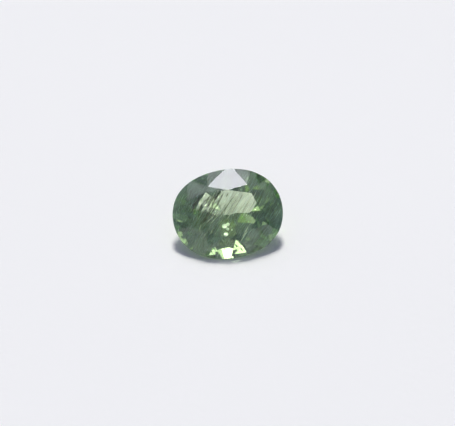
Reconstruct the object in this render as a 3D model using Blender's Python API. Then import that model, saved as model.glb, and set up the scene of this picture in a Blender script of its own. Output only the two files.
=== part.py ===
"""Oval brilliant-cut gemstone of 10 x 8 mm, lying on one facet of its pavilion.

The stone is made as a cutter makes it. A preform with the girdle's outline is ground flat,
one plane at a time: pavilion mains, pavilion breaks, crown mains, crown breaks and stars.
It is cut in its own frame, with the girdle level at z = 0, the table facing +Z and the
long axis near X. It is then tipped forward until the front pavilion main lies on z = 0.

Sizes are in metres. A turn is an angle round the stone, from 0 at its +X end to 1.
"""

import math

import bmesh
import bpy
from mathutils import Matrix, Vector

MM = 0.001

# Outline of the girdle, seen from above: a plain oval, drawn in and let out round its edge
LENGTH = 10.1 * MM
WIDTH = 8.25 * MM
SKEW = 0.031  # leans the oval, fuller towards +X +Y
EGG = -0.003  # one end blunter than the other
SQUARENESS = 0.010  # fullness of the four shoulders
LOPSIDED = -0.012  # hand-ground difference between neighbouring shoulders

# Heights above and below the middle of the girdle
GIRDLE_THICKNESS = 0.30 * MM
CROWN_HEIGHT = 1.27 * MM  # from the girdle's upper edge to the table
PREFORM_DEPTH = 5.0 * MM  # of rough left below the girdle before the pavilion is cut

# Facets. Mains go round from +X in eighths of a turn. Each is ground to its own slope, in
# degrees from the girdle's plane, and is turned a little from square to the outline.
MAINS = 8
CROWN_SLOPES = (33.0, 33.0, 32.0, 36.5, 35.0, 34.0, 36.5, 34.0)
CROWN_SWINGS = (0.0, 5.0, 3.0, 0.0, 4.0, 0.0, 2.0, 0.0)
PAVILION_SLOPES = (41.5, 39.0, 40.5, 39.5, 38.0, 41.5, 39.0, 38.0)
PAVILION_SWINGS = (3.0, 2.0, 1.0, 2.0, 4.0, 0.0, 2.0, 0.0)
# Height of each star's tip, as a share of the crown's height, from the star after main 0
STAR_REACHES = (0.72, 0.77, 0.80, 0.72, 0.72, 0.65, 0.72, 0.72)
BREAK_REACH = 0.75  # depth of a pavilion break's tip, as a share of the pavilion's depth
MAIN_OVERCUT = 0.04 * MM  # how far a main runs past the girdle's edge, which blunts its tip
RESTING_MAIN = 6  # the front main, which the stone lies on

GIRDLE_SEGMENTS = 96
MEET = 0.001 * MM  # planes that pass this close to a corner meet in it

BODY_COLOUR = (0.16, 0.30, 0.17, 1.0)
ROUGHNESS = 0.02


def clear_scene():
    """Removes what the startup file holds."""
    for old in list(bpy.data.objects):
        bpy.data.objects.remove(old, do_unlink=True)


def fullness(angle):
    """Reach of the outline at this angle, as a share of the plain oval's."""
    return (
        1.0
        + SKEW * math.sin(2 * angle)
        + EGG * math.cos(3 * angle)
        - SQUARENESS * math.cos(4 * angle)
        + LOPSIDED * math.sin(4 * angle)
    )


def girdle_point(turn, height=0.0):
    """Point of the girdle's wall at this turn and height."""
    angle = math.tau * turn
    reach = fullness(angle)
    return Vector((LENGTH / 2 * reach * math.cos(angle), WIDTH / 2 * reach * math.sin(angle), height))


def facet_direction(turn):
    """Level direction that a main facet faces: square to the plain oval at this turn."""
    angle = math.tau * turn
    return Vector((math.cos(angle) / LENGTH, math.sin(angle) / WIDTH, 0.0)).normalized()


def main_turn(index):
    """Turn at the middle of a main facet."""
    return index / MAINS


def main_plane(index, side):
    """Point and outward normal of a main, where side is 1 on the crown and -1 on the pavilion."""
    slopes, swings = (CROWN_SLOPES, CROWN_SWINGS) if side > 0 else (PAVILION_SLOPES, PAVILION_SWINGS)
    slope = math.radians(slopes[index % MAINS])
    swing = Matrix.Rotation(math.radians(swings[index % MAINS]), 3, "Z")
    level = swing @ facet_direction(main_turn(index))
    normal = level * math.sin(slope) + Vector((0.0, 0.0, side * math.cos(slope)))
    edge = side * (GIRDLE_THICKNESS / 2 - MAIN_OVERCUT)
    return girdle_point(main_turn(index), edge), normal


def three_point_plane(first, second, third):
    """Plane through three points, facing away from the middle of the stone."""
    normal = (second - first).cross(third - first).normalized()
    return first, normal if normal.dot(first) > 0 else -normal


def ridge_point(index, side, height):
    """Where the ridge between this main and the next crosses a level."""
    point_a, normal_a = main_plane(index, side)
    point_b, normal_b = main_plane(index + 1, side)
    rows = Matrix((normal_a, normal_b, (0.0, 0.0, 1.0)))
    return rows.inverted() @ Vector((normal_a.dot(point_a), normal_b.dot(point_b), height))


def table_corner(index):
    """Where the centre line of a crown main meets the table."""
    point, normal = main_plane(index, 1)
    table = GIRDLE_THICKNESS / 2 + CROWN_HEIGHT
    outward = girdle_point(main_turn(index))
    share = (normal.dot(point) - normal.z * table) / normal.dot(outward)
    return outward * share + Vector((0.0, 0.0, table))


def pavilion_depth():
    """Depth below the girdle's middle at which the first two opposite mains meet."""
    depths = []
    for index in range(MAINS):
        point, normal = main_plane(index, -1)
        depths.append(-normal.dot(point) / normal.z)
    return min(depths)


def make_preform():
    """Upright block with the girdle's outline, from the table's level to below the pavilion."""
    stone = bmesh.new()
    bmesh.ops.create_cone(
        stone, cap_ends=True, segments=GIRDLE_SEGMENTS, radius1=1.0, radius2=1.0, depth=1.0
    )
    table = GIRDLE_THICKNESS / 2 + CROWN_HEIGHT
    for corner in stone.verts:
        turn = math.atan2(corner.co.y, corner.co.x) / math.tau
        corner.co = girdle_point(turn, table if corner.co.z > 0 else -PREFORM_DEPTH)
    return stone


def grind(stone, point, normal):
    """Grinds one flat facet: takes off what lies beyond the plane and closes the cut."""
    everything = stone.verts[:] + stone.edges[:] + stone.faces[:]
    cut = bmesh.ops.bisect_plane(
        stone, geom=everything, dist=MEET, plane_co=point, plane_no=normal, clear_outer=True
    )
    rim = [part for part in cut["geom_cut"] if isinstance(part, bmesh.types.BMEdge)]
    if len(rim) > 2:
        bmesh.ops.contextual_create(stone, geom=rim)


def grind_mains(stone, side):
    """Grinds the eight mains of one side."""
    for index in range(MAINS):
        grind(stone, *main_plane(index, side))


def grind_breaks(stone, side, tip_heights):
    """Grinds the pairs of facets between a side's mains, from the girdle to their shared tip."""
    edge = side * GIRDLE_THICKNESS / 2
    for index in range(MAINS):
        tip = ridge_point(index, side, tip_heights[index])
        middle = girdle_point(main_turn(index + 0.5), edge)
        for neighbour in (index, index + 1):
            end = girdle_point(main_turn(neighbour), edge)
            grind(stone, *three_point_plane(end, middle, tip))


def grind_stars(stone, tip_heights):
    """Grinds the star facets between the table and the tips of the crown's breaks."""
    for index in range(MAINS):
        tip = ridge_point(index, 1, tip_heights[index])
        grind(stone, *three_point_plane(table_corner(index), table_corner(index + 1), tip))


def cut_stone():
    """Cuts the whole stone in its own frame."""
    stone = make_preform()
    half_girdle = GIRDLE_THICKNESS / 2
    break_tip = half_girdle + BREAK_REACH * (pavilion_depth() - half_girdle)
    star_tips = [half_girdle + reach * CROWN_HEIGHT for reach in STAR_REACHES]
    grind_mains(stone, -1)
    grind_breaks(stone, -1, [-break_tip] * MAINS)
    grind_mains(stone, 1)
    grind_breaks(stone, 1, star_tips)
    grind_stars(stone, star_tips)
    bmesh.ops.recalc_face_normals(stone, faces=stone.faces)
    return stone


def peridot_material():
    """Clear yellowish green, polished."""
    material = bpy.data.materials.new("peridot")
    material.use_nodes = True
    shader = material.node_tree.nodes["Principled BSDF"]
    shader.inputs["Base Color"].default_value = BODY_COLOUR
    shader.inputs["Roughness"].default_value = ROUGHNESS
    shader.inputs["Metallic"].default_value = 0.0
    return material


def lay_down(gemstone):
    """Tips the stone forward onto its front pavilion main, centred over the origin."""
    _, normal = main_plane(RESTING_MAIN, -1)
    gemstone.rotation_mode = "QUATERNION"
    gemstone.rotation_quaternion = normal.rotation_difference(Vector((0.0, 0.0, -1.0)))
    turned = [gemstone.rotation_quaternion @ corner.co for corner in gemstone.data.vertices]
    middle_x = (min(p.x for p in turned) + max(p.x for p in turned)) / 2
    middle_y = (min(p.y for p in turned) + max(p.y for p in turned)) / 2
    gemstone.location = (-middle_x, -middle_y, -min(p.z for p in turned))


def make_gemstone(collection):
    """Makes the stone's object in its resting place."""
    mesh = bpy.data.meshes.new("gemstone")
    stone = cut_stone()
    stone.to_mesh(mesh)
    stone.free()
    mesh.materials.append(peridot_material())
    gemstone = bpy.data.objects.new("gemstone", mesh)
    collection.objects.link(gemstone)
    lay_down(gemstone)
    return gemstone


def main():
    """Builds the gemstone in a collection of its own."""
    clear_scene()
    collection = bpy.data.collections.new("oval_peridot")
    bpy.context.scene.collection.children.link(collection)
    make_gemstone(collection)


main()
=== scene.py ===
"""A loose oval peridot with needle inclusions, lying on pale paper under a soft overhead light.

Lengths are in metres and colours are linear. The stone's solid comes from the frame. This script
gives it softened facet edges and its finish, adds what lies in the crystal (needles, fine silk,
lily pads and a cloudy veil), and sets the paper, the light and the camera.
"""

import logging
import math
import random
from dataclasses import dataclass, field
from enum import Enum

import bmesh
import bpy
from mathutils import Matrix, Vector


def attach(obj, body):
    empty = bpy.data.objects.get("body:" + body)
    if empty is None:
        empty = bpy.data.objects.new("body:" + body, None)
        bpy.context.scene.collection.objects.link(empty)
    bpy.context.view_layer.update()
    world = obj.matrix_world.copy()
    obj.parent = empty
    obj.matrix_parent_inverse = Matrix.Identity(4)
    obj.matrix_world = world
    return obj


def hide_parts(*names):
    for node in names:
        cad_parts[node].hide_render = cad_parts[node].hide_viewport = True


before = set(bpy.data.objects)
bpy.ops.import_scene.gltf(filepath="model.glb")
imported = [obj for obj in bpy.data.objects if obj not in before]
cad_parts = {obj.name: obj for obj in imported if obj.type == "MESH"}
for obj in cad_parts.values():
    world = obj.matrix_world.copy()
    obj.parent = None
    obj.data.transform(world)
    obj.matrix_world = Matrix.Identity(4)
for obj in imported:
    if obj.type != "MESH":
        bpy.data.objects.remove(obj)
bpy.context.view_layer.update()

MM = 0.001
STONE_NODE = "gemstone"
BODY = "root"
PLAIN_DETAIL = 2.0
FINE_DETAIL = 3.0
SILVER_LEAN = math.radians(14.0)
COLOUR_MIX_LOW, COLOUR_MIX_HIGH, COLOUR_MIX_RESULT = 6, 7, 2

log = logging.getLogger("peridot")

Colour = tuple[float, float, float]
Spot = tuple[float, float]
Place = tuple[float, float, float]
Plane = tuple[Vector, Vector]


def in_mm(*lengths: float) -> tuple[float, ...]:
    """Turns millimetres into metres.

    Args:
        lengths: any number of lengths, in millimetres.

    Returns:
        The same lengths, in metres.
    """
    return tuple(length * MM for length in lengths)


class Kind(Enum):
    """The node types that the finishes use."""

    COORDINATES = "ShaderNodeTexCoord"
    NOISE = "ShaderNodeTexNoise"
    RANGE = "ShaderNodeMapRange"
    MAPPING = "ShaderNodeMapping"
    MIX = "ShaderNodeMix"
    MATH = "ShaderNodeMath"
    VECTOR_MATH = "ShaderNodeVectorMath"
    BUMP = "ShaderNodeBump"
    PRINCIPLED = "ShaderNodeBsdfPrincipled"
    ABSORPTION = "ShaderNodeVolumeAbsorption"
    MATERIAL_OUTPUT = "ShaderNodeOutputMaterial"
    BACKGROUND = "ShaderNodeBackground"
    ADD_SHADERS = "ShaderNodeAddShader"
    WORLD_OUTPUT = "ShaderNodeOutputWorld"


class Signal:
    """A socket that gives a number. Arithmetic on it adds Math nodes."""

    def __init__(self, web: "Web", socket: bpy.types.NodeSocket) -> None:
        """Wraps the socket of a node in this web."""
        self.web = web
        self.socket = socket

    def combine(
        self, operation: str, first: "Signal | float", second: "Signal | float"
    ) -> "Signal":
        """Adds a Math node of this operation for two inputs, and gives its result."""
        node = self.web.add(Kind.MATH, {"operation": operation}, {0: first, 1: second})
        return self.web.out(node, "Value")

    def __add__(self, other: "Signal | float") -> "Signal":
        """Sum."""
        return self.combine("ADD", self, other)

    def __radd__(self, other: float) -> "Signal":
        """Sum, with the number first."""
        return self.combine("ADD", other, self)

    def __mul__(self, other: "Signal | float") -> "Signal":
        """Product."""
        return self.combine("MULTIPLY", self, other)

    def __rmul__(self, other: float) -> "Signal":
        """Product, with the number first."""
        return self.combine("MULTIPLY", other, self)

    def __truediv__(self, other: "Signal | float") -> "Signal":
        """Quotient."""
        return self.combine("DIVIDE", self, other)

    def __rtruediv__(self, other: float) -> "Signal":
        """Quotient, with the number first."""
        return self.combine("DIVIDE", other, self)

    def to_power(self, power: float) -> "Signal":
        """This number to a power."""
        return self.combine("POWER", self, power)

    def size(self) -> "Signal":
        """This number without its sign."""
        return self.combine("ABSOLUTE", self, 0.0)

    def stepped(self, low: float, high: float) -> "Signal":
        """0 at low and 1 at high, smooth between them and level beyond.

        Args:
            low: where the result is 0.
            high: where the result is 1. It may be below low.

        Returns:
            The smooth step.
        """
        sockets = {"Value": self, "From Min": low, "From Max": high}
        node = self.web.add(Kind.RANGE, {"interpolation_type": "SMOOTHSTEP"}, sockets)
        return self.web.out(node, "Result")


class Web:
    """The nodes of one material or world."""

    def __init__(self, tree: bpy.types.NodeTree) -> None:
        """Starts from an empty tree."""
        self.tree = tree
        tree.nodes.clear()

    def add(
        self, kind: Kind, settings: dict | None = None, sockets: dict | None = None
    ) -> bpy.types.Node:
        """Adds a node.

        Args:
            kind: the node's type.
            settings: what is set before its sockets, such as an operation.
            sockets: values, signals or sockets for its inputs, by name or number.

        Returns:
            The new node.
        """
        node = self.tree.nodes.new(kind.value)
        for name, setting in (settings or {}).items():
            setattr(node, name, setting)
        for key, given in (sockets or {}).items():
            if isinstance(given, Signal):
                given = given.socket
            if isinstance(given, bpy.types.NodeSocket):
                self.tree.links.new(given, node.inputs[key])
            else:
                node.inputs[key].default_value = given
        return node

    def out(self, node: bpy.types.Node, name: str) -> Signal:
        """The node's output of this name, as a signal."""
        return Signal(self, node.outputs[name])

    def noise(
        self, vector: bpy.types.NodeSocket, scale: float, detail: float = PLAIN_DETAIL
    ) -> Signal:
        """A noise texture's value from 0 to 1, with so many features to the metre."""
        node = self.add(Kind.NOISE, {}, {"Vector": vector, "Scale": scale, "Detail": detail})
        return self.out(node, "Fac")

    def between(self, factor: Signal, low: Colour, high: Colour) -> bpy.types.NodeSocket:
        """Mixes two colours.

        Args:
            factor: 0 gives the low colour and 1 the high one.
            low: the low colour.
            high: the high colour.

        Returns:
            The mixed colour's socket.
        """
        settings = {"data_type": "RGBA"}
        sockets = {0: factor, COLOUR_MIX_LOW: (*low, 1.0), COLOUR_MIX_HIGH: (*high, 1.0)}
        return self.add(Kind.MIX, settings, sockets).outputs[COLOUR_MIX_RESULT]

    def bump(self, height: Signal, distance: float) -> bpy.types.NodeSocket:
        """The normal of a surface that rises by this distance where the height is 1."""
        sockets = {"Strength": 1.0, "Distance": distance, "Height": height}
        return self.add(Kind.BUMP, {}, sockets).outputs["Normal"]

    def along(self, vector: bpy.types.NodeSocket, axis: Vector) -> Signal:
        """The vector's reach along an axis of length 1."""
        node = self.add(Kind.VECTOR_MATH, {"operation": "DOT_PRODUCT"}, {0: vector, 1: axis})
        return self.out(node, "Value")


def new_material(name: str) -> tuple[bpy.types.Material, Web]:
    """Makes a node material.

    Args:
        name: the material's name.

    Returns:
        The material and its empty web.
    """
    material = bpy.data.materials.new(name)
    material.use_nodes = True
    return material, Web(material.node_tree)


def add_object(name: str, mesh: bpy.types.Mesh) -> bpy.types.Object:
    """Puts a mesh in the scene.

    Args:
        name: the object's name.
        mesh: its mesh.

    Returns:
        The new object.
    """
    thing = bpy.data.objects.new(name, mesh)
    bpy.context.scene.collection.objects.link(thing)
    return thing


@dataclass(frozen=True)
class PeridotFinish:
    """Polished, clear, yellowish green crystal.

    The absorption is the share of each colour that a metre of crystal takes out, as a rate.
    """

    refractive_index: float = 1.67
    absorption: Colour = (80.0, 42.0, 116.0)
    clear_tint: Colour = (0.998, 1.0, 0.995)
    zoned_tint: Colour = (0.975, 0.99, 0.96)
    zone_scale: float = 260.0
    least_roughness: float = 0.0
    most_roughness: float = 0.03
    smear_scale: float = 700.0
    polish_line_scale: float = 9000.0
    polish_line_stretch: Place = (1.0, 0.08, 0.08)
    polish_line_height: float = 0.00012 * MM
    density_margin: float = 1.1

    def build(self) -> bpy.types.Material:
        """Makes the material.

        Returns:
            A see-through material with its colour in the volume.
        """
        material, web = new_material("peridot_polished")
        place = web.add(Kind.COORDINATES).outputs["Object"]
        zones = web.noise(place, self.zone_scale)
        smears = web.noise(place, self.smear_scale, FINE_DETAIL)
        stretched = web.add(Kind.MAPPING, {}, {"Vector": place, "Scale": self.polish_line_stretch})
        lines = web.noise(stretched.outputs["Vector"], self.polish_line_scale)
        span = self.most_roughness - self.least_roughness
        surface = web.add(
            Kind.PRINCIPLED,
            {},
            {
                "Base Color": web.between(zones, self.clear_tint, self.zoned_tint),
                "Roughness": self.least_roughness + smears * smears * span,
                "Transmission Weight": 1.0,
                "IOR": self.refractive_index,
                "Normal": web.bump(lines, self.polish_line_height),
            },
        )
        density = max(self.absorption) * self.density_margin
        kept = [1.0 - rate / density for rate in self.absorption]
        volume = web.add(Kind.ABSORPTION, {}, {"Color": (*kept, 1.0), "Density": density})
        web.add(
            Kind.MATERIAL_OUTPUT,
            {},
            {"Surface": surface.outputs["BSDF"], "Volume": volume.outputs["Volume"]},
        )
        return material


@dataclass(frozen=True)
class MineralFinish:
    """An opaque mineral inside the stone: a body colour that darkens in patches.

    Sheen is how much it shines like the silvery wall of a hollow tube or of a thin gap.
    Roughness grows by up to the spread where the colour darkens.
    """

    name: str
    light_end: Colour
    dark_end: Colour
    roughness: float
    sheen: float = 0.0
    roughness_spread: float = 0.2
    patch_scale: float = 1500.0

    def build(self) -> bpy.types.Material:
        """Makes the material.

        Returns:
            An opaque material.
        """
        material, web = new_material(self.name)
        place = web.add(Kind.COORDINATES).outputs["Object"]
        patches = web.noise(place, self.patch_scale)
        surface = web.add(
            Kind.PRINCIPLED,
            {},
            {
                "Base Color": web.between(patches, self.light_end, self.dark_end),
                "Roughness": self.roughness + patches * self.roughness_spread,
                "Metallic": self.sheen,
            },
        )
        web.add(Kind.MATERIAL_OUTPUT, {}, {"Surface": surface.outputs["BSDF"]})
        return material


@dataclass(frozen=True)
class PaperFinish:
    """Pale matt paper with a fine pressed grain, which shows near the camera and fades behind."""

    light: Colour = (0.88, 0.885, 0.865)
    shaded: Colour = (0.865, 0.87, 0.85)
    roughness: float = 0.75
    grain_roughness: float = 0.15
    grain_scale: float = 1400.0
    grain_height: float = 0.02 * MM
    grain_ends: float = 14.0 * MM
    grain_full: float = -12.0 * MM
    cloud_scale: float = 30.0

    def build(self) -> bpy.types.Material:
        """Makes the material.

        Returns:
            A matt material with a faint grain.
        """
        material, web = new_material("pale_paper")
        place = web.add(Kind.COORDINATES).outputs["Object"]
        clouds = web.noise(place, self.cloud_scale)
        depth = web.along(place, Vector((0.0, 1.0, 0.0)))
        nearness = depth.stepped(self.grain_ends, self.grain_full)
        grain = web.noise(place, self.grain_scale, FINE_DETAIL) * nearness
        surface = web.add(
            Kind.PRINCIPLED,
            {},
            {
                "Base Color": web.between(clouds, self.light, self.shaded),
                "Roughness": self.roughness + grain * self.grain_roughness,
                "Normal": web.bump(grain, self.grain_height),
            },
        )
        web.add(Kind.MATERIAL_OUTPUT, {}, {"Surface": surface.outputs["BSDF"]})
        return material


@dataclass
class CutStone:
    """The faceted stone, with its facet edges very slightly rounded as on a worn stone."""

    edge_width: float = 0.020 * MM
    edge_steps: int = 3
    edge_profile: float = 0.5
    flat_within: float = math.radians(0.2)
    weld: float = 0.0005 * MM

    def build(self, node: bpy.types.Object) -> bpy.types.Object:
        """Makes the visible stone over the solid.

        Args:
            node: the solid's object.

        Returns:
            The stone that stands in the solid's place.
        """
        stone = bmesh.new()
        stone.from_mesh(node.data)
        bmesh.ops.remove_doubles(stone, verts=stone.verts, dist=self.weld)
        bmesh.ops.dissolve_limit(
            stone, angle_limit=self.flat_within, verts=stone.verts, edges=stone.edges
        )
        ridges = [edge for edge in stone.edges if edge.calc_face_angle(0.0) > self.flat_within]
        bmesh.ops.bevel(
            stone,
            geom=ridges,
            offset=self.edge_width,
            offset_type="OFFSET",
            segments=self.edge_steps,
            profile=self.edge_profile,
            affect="EDGES",
            clamp_overlap=True,
        )
        mesh = bpy.data.meshes.new("faceted_stone")
        stone.to_mesh(mesh)
        stone.free()
        mesh.shade_flat()
        mesh.materials.append(PeridotFinish().build())
        piece = add_object("faceted_stone", mesh)
        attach(piece, BODY)
        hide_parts(STONE_NODE)
        return piece


@dataclass
class TableFrame:
    """The table's own frame, which places what lies inside the stone.

    Across runs along the stone, up runs up the table as the camera sees it, and depth goes from
    the table into the stone. The origin is the middle of the table.
    """

    node: bpy.types.Object
    least_upness: float = 0.3
    least_inside: float = 1.0 / 3.0
    middle: Vector = field(init=False)
    axes: Matrix = field(init=False)
    planes: list[Plane] = field(init=False)

    def __post_init__(self) -> None:
        """Finds the table: the widest flat face that looks up."""
        corners = self.node.data.vertices
        faces = self.node.data.polygons
        self.planes = [(corners[face.vertices[0]].co.copy(), face.normal.copy()) for face in faces]
        areas: dict[tuple[float, ...], float] = {}
        for face in faces:
            key = self.rounded(face.normal)
            if face.normal.z > self.least_upness:
                areas[key] = areas.get(key, 0.0) + face.area
        widest = max(areas, key=areas.get)
        table = [face for face in faces if self.rounded(face.normal) == widest]
        points = [corners[index].co for face in table for index in face.vertices]
        out = table[0].normal.normalized()
        across = (Vector((1.0, 0.0, 0.0)) - out * out.x).normalized()
        up = out.cross(across)
        self.axes = Matrix((across, up, -out)).transposed()
        self.middle = Vector((0.0, 0.0, 0.0))
        for axis in (across, up, out):
            reaches = [point.dot(axis) for point in points]
            self.middle += axis * (min(reaches) + max(reaches)) / 2

    @staticmethod
    def rounded(normal: Vector) -> tuple[float, ...]:
        """The normal to three places, the same for every triangle of one facet."""
        return tuple(round(value, 3) for value in normal)

    def point(self, across: float, up: float, depth: float) -> Vector:
        """The point in the world that lies this far across, up and below the table."""
        return self.middle + self.axes @ Vector((across, up, depth))

    def leaning(self, angle: float) -> Matrix:
        """The frame's axes, leaning back from the table by this angle."""
        return self.axes @ Matrix.Rotation(angle, 3, "X")

    def clip(self, tail: Vector, tip: Vector, clearance: float) -> tuple[Vector, Vector] | None:
        """Keeps a straight piece inside the stone.

        Args:
            tail: one end.
            tip: the other end.
            clearance: how far it stays from every facet.

        Returns:
            The ends of what is inside, or None if too little is.
        """
        low, high = 0.0, 1.0
        along = tip - tail
        for point, normal in self.planes:
            room = (point - tail).dot(normal) - clearance
            speed = along.dot(normal)
            if speed > 0.0:
                high = min(high, room / speed)
            elif speed < 0.0:
                low = max(low, room / speed)
            elif room < 0.0:
                return None
        if high - low < self.least_inside:
            return None
        return tail + along * low, tail + along * high


class Lustre(Enum):
    """How a mineral in the stone looks."""

    DARK = MineralFinish("needle_dark_brown", (0.095, 0.100, 0.040), (0.030, 0.036, 0.015), 0.35)
    PALE = MineralFinish("needle_pale_silk", (0.94, 1.00, 0.86), (0.80, 0.90, 0.68), 0.26, 0.8)
    HAZE = MineralFinish("fine_silk_haze", (0.76, 0.92, 1.0), (0.62, 0.80, 0.95), 0.42, 0.3)
    PAD = MineralFinish("lily_pad_silver", (0.92, 1.0, 0.85), (0.80, 0.96, 0.66), 0.24, 0.85)


@dataclass
class Needle:
    """One straight fibre, given by its upper and lower ends in the table's plane."""

    upper: Spot
    lower: Spot
    depth: float
    radius: float


def streak(upper: Spot, lower: Spot, depth: float, radius: float) -> Needle:
    """Makes a needle from lengths in millimetres.

    Args:
        upper: across and up of its upper end.
        lower: across and up of its lower end.
        depth: how far its lower end lies below the table's plane.
        radius: its half thickness.

    Returns:
        The needle, in metres.
    """
    return Needle(in_mm(*upper), in_mm(*lower), depth * MM, radius * MM)


DARK_STREAKS = (
    streak((-0.30, 2.00), (-1.05, 0.50), 0.20, 0.040),
    streak((-1.05, 0.60), (-2.25, -0.95), 0.20, 0.040),
    streak((0.60, 1.65), (-0.50, 0.00), 0.20, 0.032),
    streak((1.45, 1.85), (0.35, 0.05), 0.30, 0.020),
    streak((-1.15, 0.80), (-2.40, -0.95), 0.35, 0.040),
    streak((-1.60, 0.15), (-2.50, -1.05), 0.20, 0.035),
    streak((-1.85, 1.45), (-2.65, 0.10), 0.25, 0.030),
    streak((-1.00, 1.90), (-1.75, 0.60), 0.30, 0.035),
    streak((-1.25, 1.75), (-2.00, 0.50), 0.35, 0.030),
    streak((-2.70, 1.25), (-3.10, 0.55), 0.25, 0.055),
    streak((0.10, 1.95), (-0.10, 1.50), 0.30, 0.050),
    streak((0.90, -2.90), (0.45, -3.65), 1.00, 0.018),
)
PALE_STREAKS = (
    streak((-0.42, 2.00), (-1.40, 0.40), 0.05, 0.070),
    streak((-0.60, 1.90), (-1.35, 0.65), 0.05, 0.035),
    streak((-2.28, 1.45), (-2.90, 0.05), 0.10, 0.060),
    streak((-2.12, 1.50), (-2.70, 0.20), 0.10, 0.045),
    streak((-1.50, 1.45), (-2.55, -0.15), 0.08, 0.055),
    streak((-1.35, 1.40), (-2.30, 0.00), 0.10, 0.040),
    streak((-0.95, 0.15), (-1.95, -0.95), 0.08, 0.035),
    streak((-0.70, 0.00), (-1.55, -0.95), 0.10, 0.030),
    streak((1.90, -1.10), (1.15, -2.50), 0.55, 0.018),
    streak((0.80, -1.60), (0.50, -2.05), 0.30, 0.015),
    streak((0.15, -2.20), (-0.10, -2.70), 0.60, 0.018),
    streak((-2.30, -0.95), (-2.60, -1.70), 0.25, 0.020),
)


@dataclass
class NeedleBundle:
    """Parallel needles scattered over a part of the stone.

    Middle and spread are across, up and depth in the table's frame.
    """

    count: int
    seed: int
    middle: Place
    spread: Place
    lengths: Spot
    radii: Spot
    lean: float = math.radians(61.0)
    scatter: float = math.radians(2.0)

    def needles(self) -> list[Needle]:
        """Draws the bundle's needles.

        Returns:
            As many needles as the bundle counts.
        """
        draw = random.Random(self.seed)
        fibres = []
        for _ in range(self.count):
            across, up, depth = (
                middle + draw.uniform(-1.0, 1.0) * reach
                for middle, reach in zip(self.middle, self.spread)
            )
            lean = self.lean + draw.gauss(0.0, self.scatter)
            half = draw.uniform(*self.lengths) / 2
            step_across, step_up = half * math.cos(lean), half * math.sin(lean)
            radius = draw.uniform(*self.radii)
            upper = (across + step_across, up + step_up)
            lower = (across - step_across, up - step_up)
            fibres.append(Needle(upper, lower, depth, radius))
        return fibres


def bundle(
    count: int, seed: int, middle: Place, spread: Place, lengths: Spot, radii: Spot
) -> NeedleBundle:
    """Makes a bundle from lengths in millimetres.

    Args:
        count: how many needles it has.
        seed: what its random draws start from.
        middle: across, up and depth of its middle.
        spread: how far it reaches from there each way.
        lengths: its shortest and longest needle.
        radii: its thinnest and thickest needle's half width.

    Returns:
        The bundle, in metres.
    """
    return NeedleBundle(count, seed, in_mm(*middle), in_mm(*spread), in_mm(*lengths), in_mm(*radii))


@dataclass
class NeedleSet:
    """Needles of one lustre, joined in one mesh of thin rods with pointed ends.

    Dip is how much deeper a needle's upper end lies, as a share of its length. All of them have
    the same, as they follow one direction of the crystal. Flatness is their thickness as a share
    of their width, and their flat side leans back as the lily pads do. Point slimness is the length
    of a pointed end in radii. An end is never longer than the needle's length over least points.
    """

    name: str
    lustre: Lustre
    needles: list[Needle]
    clearance: float = 0.05 * MM
    dip: float = 0.22
    sides: int = 8
    flatness: float = 1.0
    point_slimness: float = 9.0
    least_points: float = 3.0
    weld: float = 0.00001 * MM

    def build(self, table: TableFrame) -> bpy.types.Object:
        """Makes the set.

        Args:
            table: where the stone's table is, and its facets.

        Returns:
            The needles' object.
        """
        rods = bmesh.new()
        face = -table.leaning(SILVER_LEAN).col[2]
        for fibre in self.needles:
            length = math.dist(fibre.upper, fibre.lower)
            tail = table.point(*fibre.lower, fibre.depth)
            tip = table.point(*fibre.upper, fibre.depth + self.dip * length)
            ends = table.clip(tail, tip, self.clearance + fibre.radius)
            if ends is not None:
                self.add_rod(rods, *ends, fibre.radius, face)
        bmesh.ops.remove_doubles(rods, verts=rods.verts, dist=self.weld)
        mesh = bpy.data.meshes.new(self.name)
        rods.to_mesh(mesh)
        rods.free()
        mesh.shade_smooth()
        mesh.materials.append(self.lustre.value.build())
        piece = add_object(self.name, mesh)
        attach(piece, BODY)
        return piece

    def add_rod(
        self, rods: bmesh.types.BMesh, tail: Vector, tip: Vector, radius: float, face: Vector
    ) -> None:
        """Adds one rod with pointed ends.

        Args:
            rods: the mesh that takes it.
            tail: one end.
            tip: the other end.
            radius: half its width.
            face: where its flat side looks.
        """
        length = (tip - tail).length
        along = (tip - tail).normalized()
        side = face.cross(along).normalized()
        out = along.cross(side) * self.flatness
        turn = Matrix((side, out, along)).transposed().to_4x4()
        place = Matrix.Translation((tail + tip) / 2) @ turn
        point_length = min(self.point_slimness * radius, length / self.least_points)
        bmesh.ops.create_cone(
            rods,
            cap_ends=False,
            segments=self.sides,
            radius1=radius,
            radius2=radius,
            depth=length - 2 * point_length,
            matrix=place,
        )
        for end in (-1, 1):
            low, high = (radius, 0.0) if end > 0 else (0.0, radius)
            shift = Matrix.Translation((0.0, 0.0, end * (length - point_length) / 2))
            bmesh.ops.create_cone(
                rods,
                cap_ends=False,
                segments=self.sides,
                radius1=low,
                radius2=high,
                depth=point_length,
                matrix=place @ shift,
            )


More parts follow.
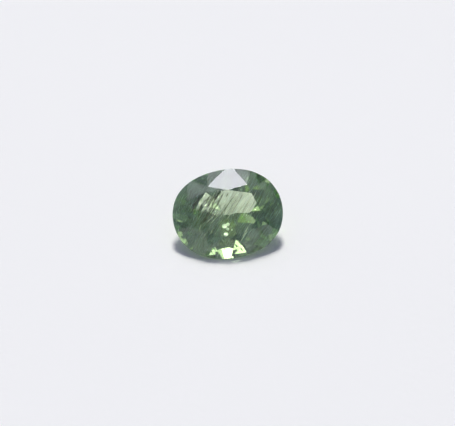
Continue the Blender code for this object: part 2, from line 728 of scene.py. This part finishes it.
@dataclass
class Silk:
    """All the needles in the stone: dark ones, pale blades, and fine silk throughout."""

    dark_streaks: tuple[Needle, ...] = DARK_STREAKS
    pale_streaks: tuple[Needle, ...] = PALE_STREAKS
    dark_bundles: tuple[NeedleBundle, ...] = (
        bundle(44, 7, (0.9, 1.0, 0.3), (1.7, 0.9, 0.15), (0.5, 1.8), (0.005, 0.012)),
        bundle(16, 19, (-1.3, 1.15, 0.55), (0.55, 0.6, 0.1), (0.6, 1.6), (0.015, 0.045)),
        bundle(14, 11, (-2.0, 0.1, 0.5), (0.9, 1.3, 0.15), (0.8, 2.0), (0.008, 0.028)),
    )
    pale_bundles: tuple[NeedleBundle, ...] = (
        bundle(26, 23, (0.6, 0.9, 0.2), (2.2, 1.0, 0.1), (0.6, 1.6), (0.006, 0.014)),
        bundle(26, 31, (0.0, -0.8, 0.25), (2.8, 1.9, 0.15), (0.6, 1.8), (0.005, 0.011)),
    )
    fine_bundles: tuple[NeedleBundle, ...] = (
        bundle(1300, 43, (0.0, -0.2, 1.4), (4.6, 3.6, 0.9), (0.5, 1.5), (0.0012, 0.0028)),
    )
    pale_flatness: float = 0.2
    fine_sides: int = 4

    def sets(self) -> list[NeedleSet]:
        """Draws the bundles and sorts all the needles by their lustre.

        Returns:
            The dark, the pale and the fine set.
        """
        dark = [*self.dark_streaks, *self.drawn(self.dark_bundles)]
        pale = [*self.pale_streaks, *self.drawn(self.pale_bundles)]
        fine = self.drawn(self.fine_bundles)
        return [
            NeedleSet("dark_needles", Lustre.DARK, dark),
            NeedleSet("pale_needles", Lustre.PALE, pale, flatness=self.pale_flatness),
            NeedleSet("fine_silk", Lustre.HAZE, fine, sides=self.fine_sides),
        ]

    @staticmethod
    def drawn(bundles: tuple[NeedleBundle, ...]) -> list[Needle]:
        """The needles of several bundles, in one list."""
        return [fibre for group in bundles for fibre in group.needles()]


@dataclass
class LilyPad:
    """One thin round gap in the crystal, given by its place in the table's frame."""

    place: Place
    radius: float
    thickness: float


def lily_pad(place: Place, radius: float, thickness: float) -> LilyPad:
    """Makes a lily pad from lengths in millimetres.

    Args:
        place: across, up and depth of its middle.
        radius: its radius.
        thickness: how thick its middle is.

    Returns:
        The pad, in metres.
    """
    return LilyPad(in_mm(*place), radius * MM, thickness * MM)


@dataclass
class PadSet:
    """The few silvery lily pads below the middle of the table, joined in one mesh.

    They lie tilted about the table's long way, so that they catch the light from behind.
    """

    pads: tuple[LilyPad, ...] = (
        lily_pad((-0.24, -1.12, 0.22), 0.25, 0.07),
        lily_pad((0.06, -0.94, 0.40), 0.17, 0.06),
        lily_pad((0.04, -1.38, 0.38), 0.15, 0.05),
        lily_pad((-0.12, -1.84, 0.20), 0.23, 0.05),
        lily_pad((0.42, -1.48, 0.30), 0.08, 0.03),
    )
    tilt: float = SILVER_LEAN
    fineness: int = 4
    unevenness: float = 0.012
    seed: int = 5

    def build(self, table: TableFrame) -> bpy.types.Object:
        """Makes the pads.

        Args:
            table: where the stone's table is.

        Returns:
            The pads' object.
        """
        draw = random.Random(self.seed)
        lumps = bmesh.new()
        tilted = table.leaning(self.tilt)
        for pad in self.pads:
            middle = table.point(*pad.place)
            made = bmesh.ops.create_icosphere(lumps, subdivisions=self.fineness, radius=1.0)
            stretch = tilted @ Matrix.Diagonal((pad.radius, pad.radius, pad.thickness / 2))
            for corner in made["verts"]:
                uneven = 1.0 + draw.uniform(-self.unevenness, self.unevenness)
                corner.co = middle + stretch @ (corner.co * uneven)
        mesh = bpy.data.meshes.new("lily_pads")
        lumps.to_mesh(mesh)
        lumps.free()
        mesh.materials.append(Lustre.PAD.value.build())
        piece = add_object("lily_pads", mesh)
        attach(piece, BODY)
        return piece


@dataclass(frozen=True)
class VeilFinish:
    """A thin cloudy gap in the crystal: silvery green, fading out from its middle."""

    middle: Vector
    reach: float
    light: Colour = (0.80, 0.95, 0.50)
    shaded: Colour = (0.55, 0.80, 0.35)
    roughness: float = 0.5
    sheen: float = 0.7
    most_cover: float = 0.50
    cloud_scale: float = 2600.0
    cloud_edges: Spot = (0.2, 0.8)

    def build(self) -> bpy.types.Material:
        """Makes the material.

        Returns:
            A material that covers less and less towards the veil's edge.
        """
        material, web = new_material("veil_silvery_green")
        place = web.add(Kind.COORDINATES).outputs["Object"]
        apart = web.add(Kind.VECTOR_MATH, {"operation": "DISTANCE"}, {0: place, 1: self.middle})
        fade = web.out(apart, "Value").stepped(self.reach, 0.0)
        clouds = web.noise(place, self.cloud_scale, FINE_DETAIL)
        surface = web.add(
            Kind.PRINCIPLED,
            {},
            {
                "Base Color": web.between(clouds, self.light, self.shaded),
                "Roughness": self.roughness,
                "Metallic": self.sheen,
                "Alpha": fade * clouds.stepped(*self.cloud_edges) * self.most_cover,
            },
        )
        web.add(Kind.MATERIAL_OUTPUT, {}, {"Surface": surface.outputs["BSDF"]})
        return material


@dataclass
class Veil:
    """The cloudy gap around the lily pads, a round sheet tilted like them."""

    place: Place = in_mm(-0.05, -1.40, 0.50)
    radius: float = 0.95 * MM
    tilt: float = SILVER_LEAN
    sides: int = 48

    def build(self, table: TableFrame) -> bpy.types.Object:
        """Makes the veil.

        Args:
            table: where the stone's table is.

        Returns:
            The veil's object.
        """
        middle = table.point(*self.place)
        turn = table.leaning(self.tilt).to_4x4()
        sheet = bmesh.new()
        bmesh.ops.create_circle(
            sheet,
            cap_ends=True,
            segments=self.sides,
            radius=self.radius,
            matrix=Matrix.Translation(middle) @ turn,
        )
        mesh = bpy.data.meshes.new("cloudy_veil")
        sheet.to_mesh(mesh)
        sheet.free()
        mesh.materials.append(VeilFinish(middle, self.radius).build())
        piece = add_object("cloudy_veil", mesh)
        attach(piece, BODY)
        return piece


@dataclass
class PaperSheet:
    """The pale paper that the stone lies on."""

    reach: float = 1.5
    gap: float = 0.01 * MM

    def build(self) -> bpy.types.Object:
        """Makes the sheet, with a film of air between it and the stone.

        Returns:
            The paper's object.
        """
        sheet = bmesh.new()
        bmesh.ops.create_grid(sheet, x_segments=1, y_segments=1, size=self.reach)
        mesh = bpy.data.meshes.new("paper")
        sheet.to_mesh(mesh)
        sheet.free()
        mesh.materials.append(PaperFinish().build())
        paper = add_object("paper", mesh)
        paper.location.z = -self.gap
        return paper


@dataclass(frozen=True)
class Glow:
    """A soft patch of light in the sky, a rounded rectangle.

    The bearing of its middle is from straight behind the stone, positive to the right. Angles
    are in degrees, and softness is the share of its size over which its edge fades.
    """

    bearing: float
    height: float
    half_width: float
    half_height: float
    softness: float
    strength: float
    corner_power: float = 4.0
    front_edge: float = 0.1

    def axes(self) -> tuple[Vector, Vector, Vector]:
        """Works out the glow's directions.

        Returns:
            Directions to its middle, to its right and to its top.
        """
        bearing, height = math.radians(self.bearing), math.radians(self.height)
        behind = Vector((math.sin(bearing), math.cos(bearing), 0.0))
        upright = Vector((0.0, 0.0, 1.0))
        middle = behind * math.cos(height) + upright * math.sin(height)
        top = upright * math.cos(height) - behind * math.sin(height)
        return middle, middle.cross(top), top

    def share(self, web: Web, ray: bpy.types.NodeSocket) -> Signal:
        """Shapes the glow in the sky.

        Args:
            web: the world's web.
            ray: the direction's socket.

        Returns:
            Share of the glow's strength that a ray meets, from 0 to 1.
        """
        middle, right, top = self.axes()
        facing = web.along(ray, middle)
        width = math.sin(math.radians(self.half_width))
        tallness = math.sin(math.radians(self.half_height))
        off_side = (web.along(ray, right) / width).size().to_power(self.corner_power)
        off_top = (web.along(ray, top) / tallness).size().to_power(self.corner_power)
        outline = (off_side + off_top).to_power(1.0 / self.corner_power)
        inside = outline.stepped(1.0 + self.softness, 1.0 - self.softness)
        return inside * facing.stepped(0.0, self.front_edge)


@dataclass
class Studio:
    """The light: a dim, cool, uneven room with soft lamps and panels.

    The first lamp lights the stone from high behind. The others are small and show only where the
    facets throw their light to the camera: in the white patch at the front, at the window's tip
    and in the lobe below it. The panels show in the facets at the back, and the warm glows in the
    yellow facet below the window and around the lily pads.
    """

    low_level: Colour = (0.086, 0.100, 0.185)
    high_level: Colour = (0.205, 0.205, 0.310)
    level_edges: Spot = (-0.2, 1.0)
    patch_scale: float = 3.2
    patch_edges: Spot = (0.38, 0.62)
    least_share: float = 0.6
    most_share: float = 1.35
    lamp_tint: Colour = (1.0, 1.0, 0.93)
    lamps: tuple[Glow, ...] = (
        Glow(-1.0, 65.5, 5.0, 5.0, 0.3, 78.0),
        Glow(177.0, 27.0, 1.8, 2.0, 0.3, 4.6),
        Glow(157.5, 16.0, 1.6, 1.6, 0.3, 1.7),
        Glow(140.0, 39.5, 2.5, 3.0, 0.3, 1.9),
        Glow(199.5, 43.7, 1.3, 1.2, 0.3, 3.3),
        Glow(194.7, 50.0, 1.3, 1.3, 0.3, 2.7),
        Glow(197.3, 46.0, 1.0, 0.8, 0.3, 1.1),
        Glow(178.7, 44.5, 1.0, 1.0, 0.3, 0.45),
        Glow(258.0, 50.0, 2.5, 2.5, 0.4, 1.0),
        Glow(245.3, 27.0, 1.5, 1.5, 0.3, 0.55),
    )
    panel_tint: Colour = (0.98, 0.94, 1.06)
    panels: tuple[Glow, ...] = (
        Glow(-1.5, 57.0, 8.0, 5.0, 0.45, 8.5),
        Glow(-14.0, 46.0, 4.0, 4.0, 0.5, 1.4),
        Glow(-11.0, 76.0, 4.0, 4.0, 0.5, 2.6),
        Glow(-47.0, 43.0, 9.0, 8.0, 0.4, 0.8),
        Glow(46.0, 47.0, 9.0, 9.0, 0.4, 0.25),
    )
    warm_tint: Colour = (0.85, 1.0, 0.50)
    warm_glows: tuple[Glow, ...] = (
        Glow(-119.0, 37.0, 5.0, 5.0, 0.5, 0.45),
        Glow(177.0, 57.5, 4.0, 4.0, 0.5, 0.13),
    )

    def build(self) -> bpy.types.World:
        """Makes the world that lights the scene.

        Returns:
            The scene's world.
        """
        world = bpy.data.worlds.new("soft_light")
        world.use_nodes = True
        web = Web(world.node_tree)
        ray = web.add(Kind.COORDINATES).outputs["Generated"]
        upness = web.along(ray, Vector((0.0, 0.0, 1.0))).stepped(*self.level_edges)
        patches = web.noise(ray, self.patch_scale).stepped(*self.patch_edges)
        share = self.least_share + patches * (self.most_share - self.least_share)
        colour = web.between(upness, self.low_level, self.high_level)
        room = web.add(Kind.BACKGROUND, {}, {"Color": colour, "Strength": share})
        total = room.outputs["Background"]
        groups = (
            (self.lamp_tint, self.lamps),
            (self.panel_tint, self.panels),
            (self.warm_tint, self.warm_glows),
        )
        for tint, glows in groups:
            for glow in glows:
                sockets = {"Color": (*tint, 1.0), "Strength": glow.share(web, ray) * glow.strength}
                light = web.add(Kind.BACKGROUND, {}, sockets)
                both = web.add(Kind.ADD_SHADERS, {}, {0: total, 1: light.outputs["Background"]})
                total = both.outputs["Shader"]
        web.add(Kind.WORLD_OUTPUT, {}, {"Surface": total})
        bpy.context.scene.world = world
        return world


@dataclass
class PhotoCamera:
    """The camera at the photograph's viewing angle, with the stone where the photograph has it."""

    elevation: float = math.radians(43.7)
    distance: float = 150.0 * MM
    metres_per_pixel: float = 0.0918 * MM
    image_width: int = 455
    image_height: int = 426
    stone_pixel: Spot = (227.75, 213.75)
    sensor_width: float = 36.0
    nearest: float = 1.0 * MM

    def build(self, stone: bpy.types.Object) -> bpy.types.Object:
        """Makes the camera and aims it.

        Args:
            stone: the visible stone.

        Returns:
            The camera's object.
        """
        back = Vector((0.0, -math.cos(self.elevation), math.sin(self.elevation)))
        up = Vector((0.0, math.sin(self.elevation), math.cos(self.elevation)))
        right = Vector((1.0, 0.0, 0.0))
        corners = [stone.matrix_world @ vertex.co for vertex in stone.data.vertices]
        middle = self.middle_along(corners, right) * right + self.middle_along(corners, up) * up
        off_x = self.stone_pixel[0] - self.image_width / 2
        off_y = self.stone_pixel[1] - self.image_height / 2
        aim = middle - right * off_x * self.metres_per_pixel + up * off_y * self.metres_per_pixel
        lens = bpy.data.cameras.new("photo_camera")
        lens.sensor_width = self.sensor_width
        lens.lens = lens.sensor_width * self.distance / (self.image_width * self.metres_per_pixel)
        lens.clip_start = self.nearest
        camera = bpy.data.objects.new("photo_camera", lens)
        camera.location = aim + back * self.distance
        camera.rotation_euler = back.to_track_quat("Z", "Y").to_euler()
        bpy.context.scene.collection.objects.link(camera)
        bpy.context.scene.camera = camera
        return camera

    @staticmethod
    def middle_along(corners: list[Vector], axis: Vector) -> float:
        """The middle of the corners' reach along an axis of length 1."""
        reaches = [corner.dot(axis) for corner in corners]
        return (min(reaches) + max(reaches)) / 2


@dataclass(frozen=True)
class RenderSetup:
    """Lets light pass through the stone many times, and keeps colours plain."""

    bounces: int = 24
    glossy_bounces: int = 16
    transmission_bounces: int = 20
    glossy_filter: float = 0.2
    brightest_bounce: float = 100.0
    view_transform: str = "Standard"

    def apply(self) -> None:
        """Sets the scene's light paths and view."""
        scene = bpy.context.scene
        scene.cycles.max_bounces = self.bounces
        scene.cycles.glossy_bounces = self.glossy_bounces
        scene.cycles.transmission_bounces = self.transmission_bounces
        scene.cycles.caustics_refractive = True
        scene.cycles.caustics_reflective = True
        scene.cycles.blur_glossy = self.glossy_filter
        scene.cycles.sample_clamp_indirect = self.brightest_bounce
        scene.view_settings.view_transform = self.view_transform


def main() -> None:
    """Dresses the stone and sets its light and camera."""
    logging.basicConfig(level=logging.INFO, format="%(name)s: %(message)s")
    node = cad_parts[STONE_NODE]
    stone = CutStone().build(node)
    log.info("%s: %d faces", stone.name, len(stone.data.polygons))
    table = TableFrame(node)
    for needle_set in Silk().sets():
        needles = needle_set.build(table)
        log.info("%s: %d faces", needles.name, len(needles.data.polygons))
    pads = PadSet().build(table)
    log.info("%s: %d faces", pads.name, len(pads.data.polygons))
    log.info("%s", Veil().build(table).name)
    log.info("%s", PaperSheet().build().name)
    log.info("%s", Studio().build().name)
    log.info("%s", PhotoCamera().build(stone).name)
    RenderSetup().apply()


if __name__ == "__main__":
    main()
